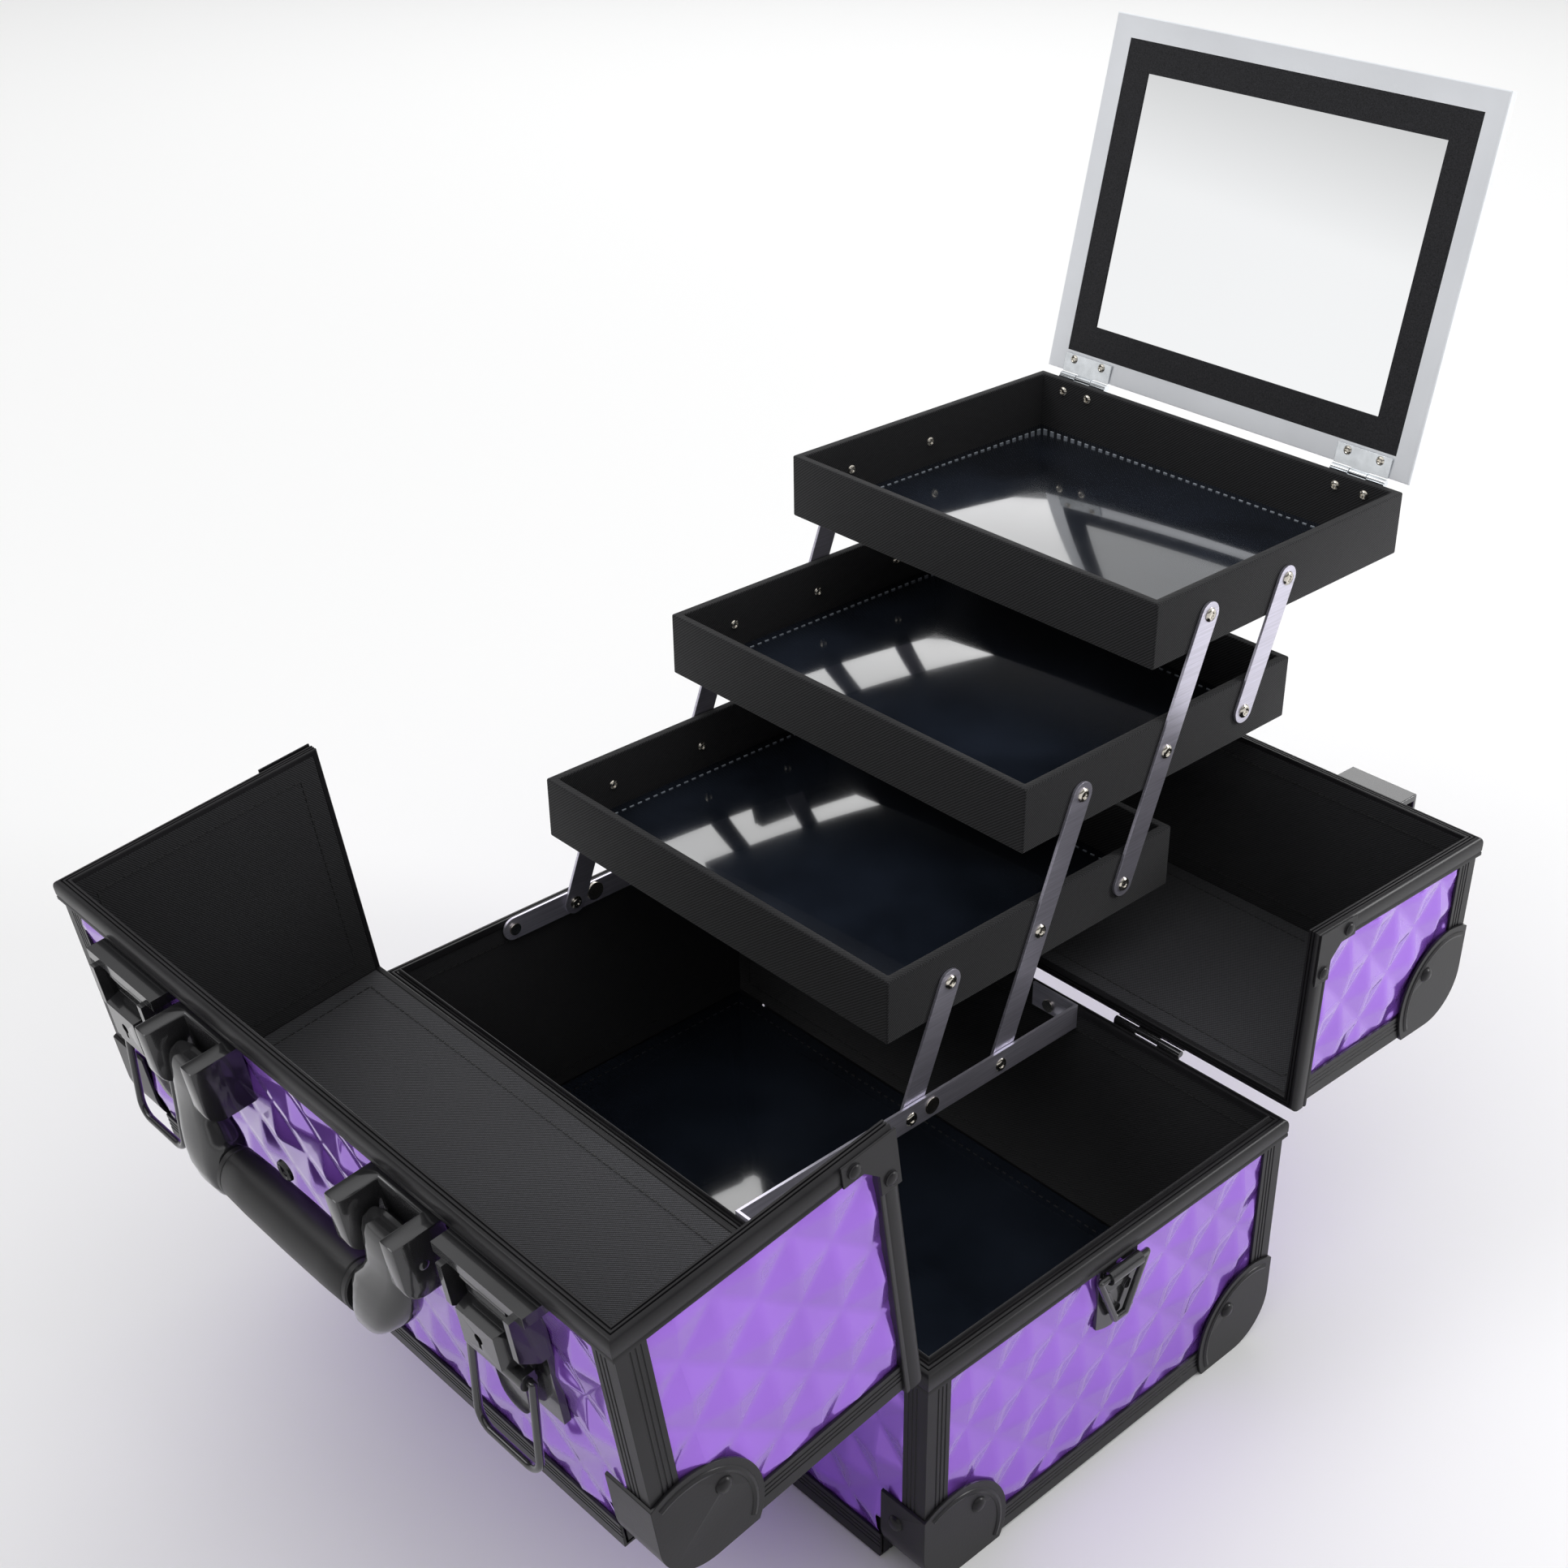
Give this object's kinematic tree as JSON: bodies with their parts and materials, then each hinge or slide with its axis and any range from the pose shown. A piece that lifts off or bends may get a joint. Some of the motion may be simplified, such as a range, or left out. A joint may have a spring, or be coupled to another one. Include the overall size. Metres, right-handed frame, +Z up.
{
  "type": "train case",
  "caption": "Train case with two folding lid halves, cantilever trays, a mirror lid, a carry handle, latches and side rings.",
  "frame": {"origin": "on the floor under the centre of the base", "axes": "+X is the end with the open compartment, +Y is the back, +Z is up"},
  "size_m": [0.352, 0.6102, 0.4656],
  "materials": {
    "black_trim": "satin black ribbed aluminium and moulded corners",
    "gloss_black": "gloss black",
    "grip_black": "soft matte black",
    "purple_panel": "glossy purple laminate embossed with pyramids",
    "lined_board": "thin board lined with black twill",
    "tray_fabric": "thin board wrapped in fine black twill",
    "clear_floor": "board under clear glossy film with stitched edge",
    "brushed_metal": "brushed",
    "bright_steel": "bright zinc and nickel",
    "frame_white": "satin silver mitred frame",
    "mirror_glass": "mirror"
  },
  "bodies": {
    "base": {"base_front_wall": "lined_board", "base_back_wall": "lined_board", "base_end_walls": "lined_board", "base_floor": "lined_board", "floor_pad": "clear_floor", "base_panels": "purple_panel", "corner_posts": "black_trim", "bottom_rails": "black_trim", "base_rim": "black_trim", "base_corners": "black_trim", "ring_plates": "gloss_black", "tray_bracket": "brushed_metal", "tray_bar": "brushed_metal", "stop_bolts": "bright_steel", "base_rivets": "bright_steel", "fixing_screws": "bright_steel", "base_hinges": "gloss_black"},
    "ring_near": {"ring_near": "gloss_black"},
    "ring_far": {"ring_far": "gloss_black"},
    "front_lid": {"front_lid_wall": "lined_board", "front_lid_top": "lined_board", "front_lid_cheeks": "lined_board", "front_lid_panels": "purple_panel", "front_lid_rim": "black_trim", "front_lid_rails": "black_trim", "front_lid_corners": "black_trim", "front_lid_braces": "black_trim", "front_hinge_leaves": "gloss_black", "latch_plates": "gloss_black", "handle_brackets": "gloss_black"},
    "handle": {"handle_arms": "gloss_black", "handle_grip": "grip_black"},
    "lever_near": {"lever_near": "gloss_black"},
    "lever_far": {"lever_far": "gloss_black"},
    "bail_near": {"bail_near": "gloss_black"},
    "bail_far": {"bail_far": "gloss_black"},
    "back_lid": {"back_lid_wall": "lined_board", "back_lid_top": "lined_board", "back_lid_cheeks": "lined_board", "back_lid_panels": "purple_panel", "back_lid_rim": "black_trim", "back_lid_rails": "black_trim", "back_lid_corners": "black_trim", "back_lid_braces": "black_trim", "back_hinge_leaves": "gloss_black", "latch_catches": "gloss_black"},
    "arms_1": {"arm_1": "brushed_metal"},
    "arms_2": {"arm_2": "brushed_metal"},
    "arms_3": {"arm_3": "brushed_metal"},
    "arms_4": {"arm_4": "brushed_metal"},
    "tray_1": {"tray_1": "tray_fabric", "tray_1_rivets": "bright_steel"},
    "tray_2": {"tray_2": "tray_fabric", "tray_2_rivets": "bright_steel"},
    "tray_3": {"tray_3": "tray_fabric", "tray_3_rivets": "bright_steel", "tray_3_hinges": "bright_steel"},
    "mirror": {"mirror_frame": "frame_white", "mirror_glass": "mirror_glass", "mirror_hinges": "bright_steel"}
  },
  "joints": [
    {"name": "front_lid_hinge", "type": "hinge", "parent": "base", "child": "front_lid", "pos_m": [0, -0.106, 0.11315], "axis": [-1, 0, 0], "range_deg": [0, 98]},
    {"name": "back_lid_hinge", "type": "hinge", "parent": "base", "child": "back_lid", "pos_m": [0, 0.106, 0.11315], "axis": [1, 0, 0], "range_deg": [0, 46]},
    {"name": "tray_fold", "type": "hinge", "parent": "base", "child": "arms_1", "pos_m": [0, -0.004, 0.1095], "axis": [1, 0, 0], "range_deg": [0, 81.5]},
    {"name": "tray_1_level", "type": "hinge", "parent": "arms_1", "child": "tray_1", "pos_m": [0, 0.01836, 0.16626], "axis": [1, 0, 0], "range_deg": [-81.5, 0]},
    {"name": "arms_2_pivot", "type": "hinge", "parent": "base", "child": "arms_2", "pos_m": [0, 0.0492, 0.1095], "axis": [1, 0, 0], "range_deg": [0, 81.5]},
    {"name": "arms_3_pivot", "type": "hinge", "parent": "tray_1", "child": "arms_3", "pos_m": [0, 0.12476, 0.16626], "axis": [1, 0, 0], "range_deg": [0, 81.5]},
    {"name": "tray_2_level", "type": "hinge", "parent": "arms_2", "child": "tray_2", "pos_m": [0, 0.09391, 0.22301], "axis": [1, 0, 0], "range_deg": [-81.5, 0]},
    {"name": "arms_4_pivot", "type": "hinge", "parent": "tray_2", "child": "arms_4", "pos_m": [0, 0.20031, 0.22301], "axis": [1, 0, 0], "range_deg": [0, 81.5]},
    {"name": "tray_3_level", "type": "hinge", "parent": "arms_3", "child": "tray_3", "pos_m": [0, 0.16947, 0.27977], "axis": [1, 0, 0], "range_deg": [-81.5, 0]},
    {"name": "mirror_hinge", "type": "hinge", "parent": "tray_3", "child": "mirror", "pos_m": [0, 0.31067, 0.29507], "axis": [1, 0, 0], "range_deg": [0, 103]},
    {"name": "handle_swing", "type": "hinge", "parent": "front_lid", "child": "handle", "pos_m": [0, -0.24385, 0.19476], "axis": [-1, 0, 0], "range_deg": [-7, 120]},
    {"name": "lever_near_hinge", "type": "hinge", "parent": "front_lid", "child": "lever_near", "pos_m": [0, -0.23973, 0.2014], "axis": [-1, 0, 0], "range_deg": [0, 70]},
    {"name": "lever_far_hinge", "type": "hinge", "parent": "front_lid", "child": "lever_far", "pos_m": [0, -0.23973, 0.2014], "axis": [-1, 0, 0], "range_deg": [0, 70]},
    {"name": "bail_near_swing", "type": "hinge", "parent": "lever_near", "child": "bail_near", "pos_m": [0, -0.23817, 0.17233], "axis": [-1, 0, 0], "range_deg": [-4, 120]},
    {"name": "bail_far_swing", "type": "hinge", "parent": "lever_far", "child": "bail_far", "pos_m": [0, -0.23817, 0.17233], "axis": [-1, 0, 0], "range_deg": [-4, 120]},
    {"name": "ring_near_swing", "type": "hinge", "parent": "base", "child": "ring_near", "pos_m": [0.173, 0, 0.1], "axis": [0, -1, 0], "range_deg": [0, 140]},
    {"name": "ring_far_swing", "type": "hinge", "parent": "base", "child": "ring_far", "pos_m": [-0.173, 0, 0.1], "axis": [0, 1, 0], "range_deg": [0, 140]}
  ],
  "couplings": [
    {"joint": "tray_1_level", "follows": "tray_fold", "ratio": -1},
    {"joint": "arms_2_pivot", "follows": "tray_fold", "ratio": 1},
    {"joint": "arms_3_pivot", "follows": "tray_fold", "ratio": 1},
    {"joint": "tray_2_level", "follows": "tray_fold", "ratio": -1},
    {"joint": "arms_4_pivot", "follows": "tray_fold", "ratio": 1},
    {"joint": "tray_3_level", "follows": "tray_fold", "ratio": -1},
    {"joint": "back_lid_hinge", "follows": "tray_fold", "ratio": 0.5644}
  ]
}
